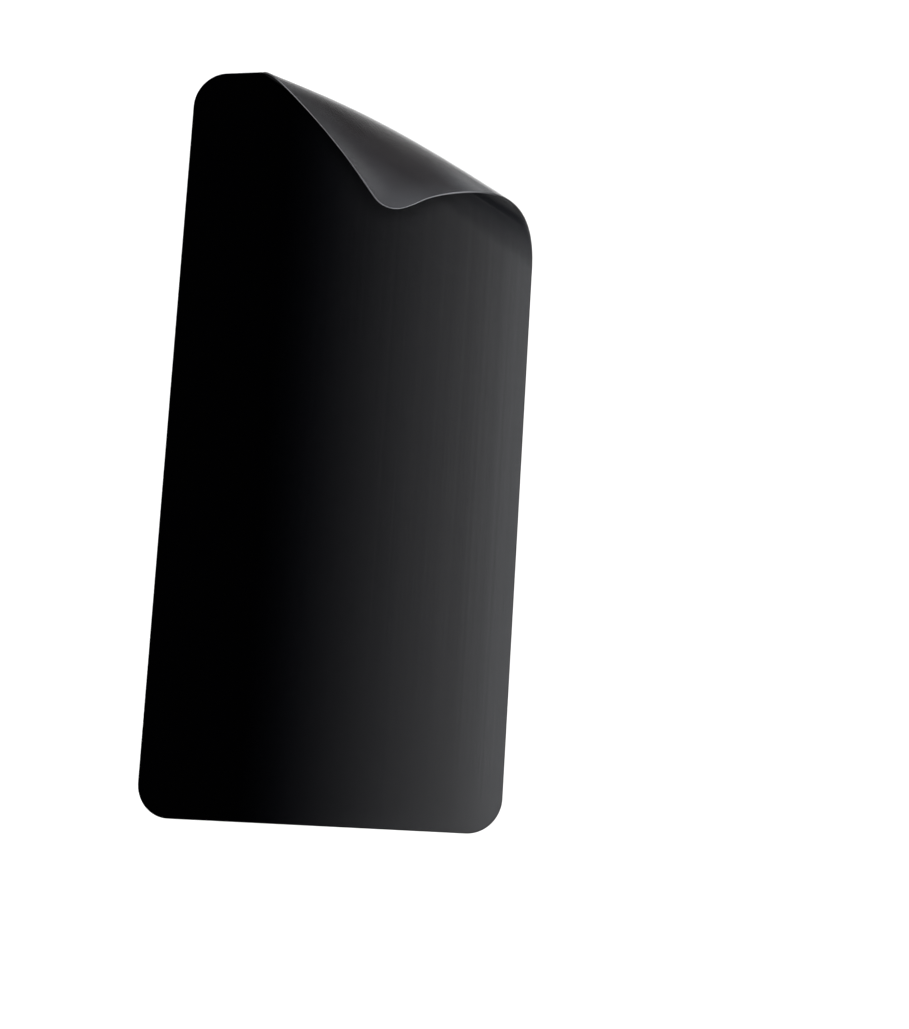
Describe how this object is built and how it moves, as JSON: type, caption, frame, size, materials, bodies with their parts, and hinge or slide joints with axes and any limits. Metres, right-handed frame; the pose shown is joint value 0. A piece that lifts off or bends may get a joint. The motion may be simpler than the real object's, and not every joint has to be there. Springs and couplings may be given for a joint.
{
  "type": "screen privacy filter",
  "caption": "Thin dark privacy filter film for a small screen: a rounded rectangle whose upper right corner is peeled up and rolled back.",
  "frame": {"origin": "centre of the film's outline, on the underside that lies on the table", "axes": "+X across the film towards the peeled corner's side, +Y up the film towards its top edge, +Z out of the front face"},
  "size_m": [0.068, 0.1411, 0.0212],
  "materials": {
    "film": "dark see-through film with a smooth glossy face, a satin grey underside and bright cut edges"
  },
  "bodies": {
    "root": {"filter_film": "film"}
  },
  "joints": []
}
